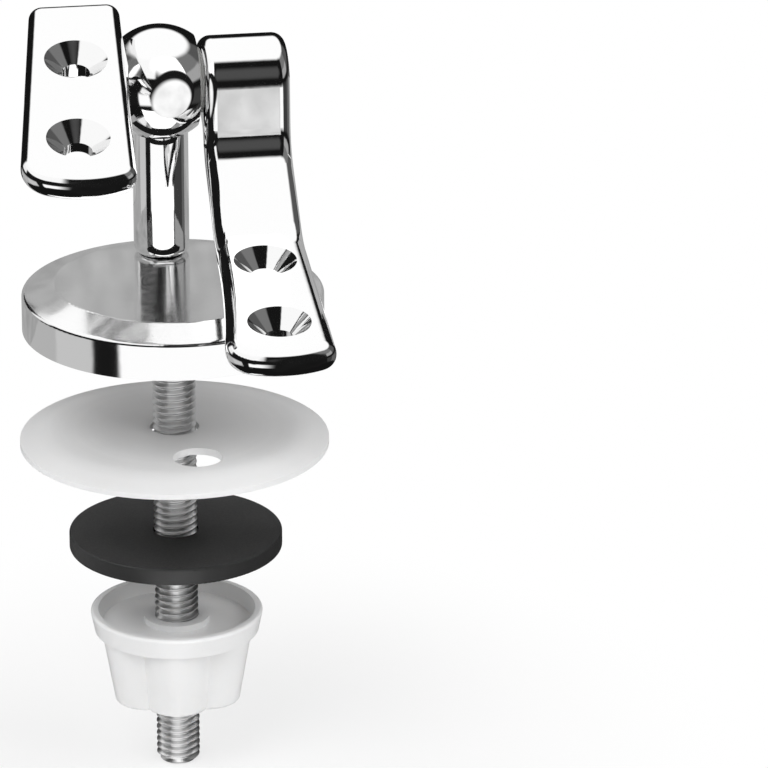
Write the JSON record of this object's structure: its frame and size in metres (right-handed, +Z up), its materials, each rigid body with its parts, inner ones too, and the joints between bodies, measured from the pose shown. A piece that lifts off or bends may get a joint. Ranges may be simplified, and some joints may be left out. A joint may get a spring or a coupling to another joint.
{
  "type": "toilet seat hinge",
  "caption": "Chrome toilet seat hinge: a ball-headed pillar on a round base carries a seat arm and a lid arm, with a threaded stud, cap washer, rubber washer and plastic nut below.",
  "frame": {"origin": "on the stud's axis, in the plane of the base disc's underside", "axes": "+Z up, -Y the way the arms reach over the pan, X along the hinge pin"},
  "size_m": [0.0579, 0.0799, 0.1422],
  "materials": {
    "chrome": "polished chrome plate on zinc",
    "cap_steel": "bright plated",
    "pin_steel": "ground",
    "zinc_steel": "zinc plated",
    "stud_steel": "zinc plated, threaded",
    "nylon": "natural nylon",
    "milky_plastic": "milky, satin",
    "black_rubber": "matt",
    "white_plastic": "white, satin gloss"
  },
  "bodies": {
    "hinge_base": {"base_disc": "chrome", "pillar": "chrome", "pillar_screw": "zinc_steel", "lock_washer": "zinc_steel", "mounting_stud": "stud_steel", "hinge_pin": "pin_steel", "seat_pin_cap": "cap_steel", "lid_pin_cap": "cap_steel"},
    "seat_leaf": {"seat_arm": "chrome", "seat_bush": "nylon"},
    "lid_leaf": {"lid_arm": "chrome", "lid_bush": "nylon"},
    "cap": {"base_cap": "milky_plastic"},
    "washer": {"rubber_washer": "black_rubber"},
    "nut": {"fixing_nut": "white_plastic"}
  },
  "joints": [
    {"name": "seat_hinge", "type": "hinge", "parent": "hinge_base", "child": "seat_leaf", "pos_m": [0, 0.016, 0.0416], "axis": [-1, 0, 0], "range_deg": [0, 110]},
    {"name": "lid_hinge", "type": "hinge", "parent": "hinge_base", "child": "lid_leaf", "pos_m": [0, 0.016, 0.0416], "axis": [-1, 0, 0], "range_deg": [0, 110]},
    {"name": "cap_slide", "type": "slide", "parent": "hinge_base", "child": "cap", "axis": [0, 0, 1], "range_m": [0, 0.0195]},
    {"name": "rubber_slide", "type": "slide", "parent": "hinge_base", "child": "washer", "axis": [0, 0, 1], "range_m": [0, 0.015]},
    {"name": "nut_travel", "type": "slide", "parent": "hinge_base", "child": "nut", "axis": [0, 0, 1], "range_m": [0, 0.012]}
  ]
}
